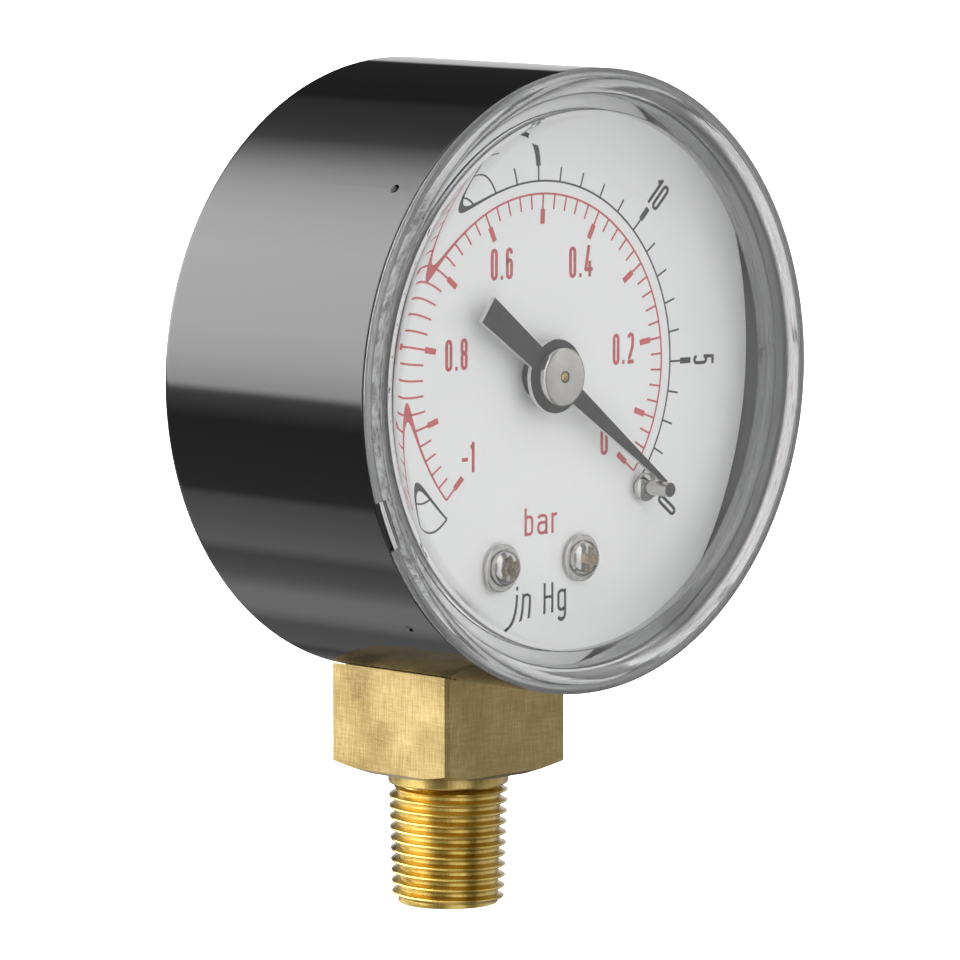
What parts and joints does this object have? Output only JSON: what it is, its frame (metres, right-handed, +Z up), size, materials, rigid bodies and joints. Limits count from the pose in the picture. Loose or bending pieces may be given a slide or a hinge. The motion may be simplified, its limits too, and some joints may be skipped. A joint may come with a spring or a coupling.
{
  "type": "pressure gauge",
  "caption": "Round vacuum gauge with a black drum case, clear snap-in window, two-scale dial and a brass bottom socket with a taper pipe thread.",
  "frame": {"origin": "centre of the threaded stem's lower end face", "axes": "+Z up along the stem and across the dial, -Y out through the window, +X to the dial's right as it is read"},
  "size_m": [0.0514, 0.0257, 0.0708],
  "materials": {
    "case": "gloss black enamel",
    "window": "clear moulded polycarbonate",
    "dial": "satin white enamel, printed in red and black",
    "dial_screw_left": "nickel plated, cross recess",
    "dial_screw_right": "nickel plated, cross recess",
    "stop_pin": "nickel plated",
    "pointer": "matt black enamel on aluminium sheet",
    "pointer_hub": "turned, bright",
    "pinion_arbor": "turned and cut",
    "hairspring": "rolled bronze strip",
    "hairspring_collet": "turned",
    "hairspring_stud": "turned",
    "sector_gear": "stamped and cut",
    "sector_shaft": "ground",
    "link": "stamped",
    "link_screw": "turned, shouldered",
    "tip_pin": "turned, headed",
    "front_plate": "stamped",
    "back_plate": "stamped",
    "pillar_left": "turned",
    "pillar_right": "turned",
    "plate_screw_left": "slotted",
    "plate_screw_right": "slotted",
    "bourdon_tube": "drawn and bent, dull",
    "tube_tip": "machined, soldered on",
    "socket": "machined, brushed block and bright thread",
    "back_screw_left": "nickel plated, cross recess",
    "back_screw_right": "nickel plated, cross recess"
  },
  "bodies": {
    "gauge": {"case": "case", "window": "window", "dial": "dial", "dial_screw_left": "dial_screw_left", "dial_screw_right": "dial_screw_right", "stop_pin": "stop_pin", "front_plate": "front_plate", "back_plate": "back_plate", "pillar_left": "pillar_left", "pillar_right": "pillar_right", "plate_screw_left": "plate_screw_left", "plate_screw_right": "plate_screw_right", "hairspring": "hairspring", "hairspring_stud": "hairspring_stud", "bourdon_tube": "bourdon_tube", "socket": "socket", "back_screw_left": "back_screw_left", "back_screw_right": "back_screw_right"},
    "pointer_shaft": {"pointer": "pointer", "pointer_hub": "pointer_hub", "pinion_arbor": "pinion_arbor", "hairspring_collet": "hairspring_collet"},
    "sector": {"sector_gear": "sector_gear", "sector_shaft": "sector_shaft", "link_screw": "link_screw"},
    "link": {"link": "link"},
    "tube_end": {"tube_tip": "tube_tip", "tip_pin": "tip_pin"}
  },
  "joints": [
    {"name": "pointer_turn", "type": "hinge", "parent": "gauge", "child": "pointer_shaft", "pos_m": [0, -0.0058, 0.04528], "axis": [0, -1, 0], "range_deg": [0, 264], "stiffness_Nm_per_rad": 0.0005, "springref_deg": -8.02},
    {"name": "sector_swing", "type": "hinge", "parent": "gauge", "child": "sector", "pos_m": [0.00631, -0.0058, 0.03626], "axis": [0, -1, 0], "range_deg": [-26.5, 0]},
    {"name": "link_swing", "type": "hinge", "parent": "sector", "child": "link", "pos_m": [0.00881, -0.0047, 0.03383], "axis": [0, -1, 0], "range_deg": [0, 23.5]},
    {"name": "tube_end_curl", "type": "hinge", "parent": "gauge", "child": "tube_end", "pos_m": [-0.00203, 0, 0.05057], "axis": [0, -1, 0], "range_deg": [-4.7, 0]}
  ],
  "couplings": [
    {"joint": "sector_swing", "follows": "pointer_turn", "ratio": -0.1},
    {"joint": "link_swing", "follows": "pointer_turn", "ratio": 0.08854},
    {"joint": "tube_end_curl", "follows": "pointer_turn", "ratio": -0.01764}
  ]
}
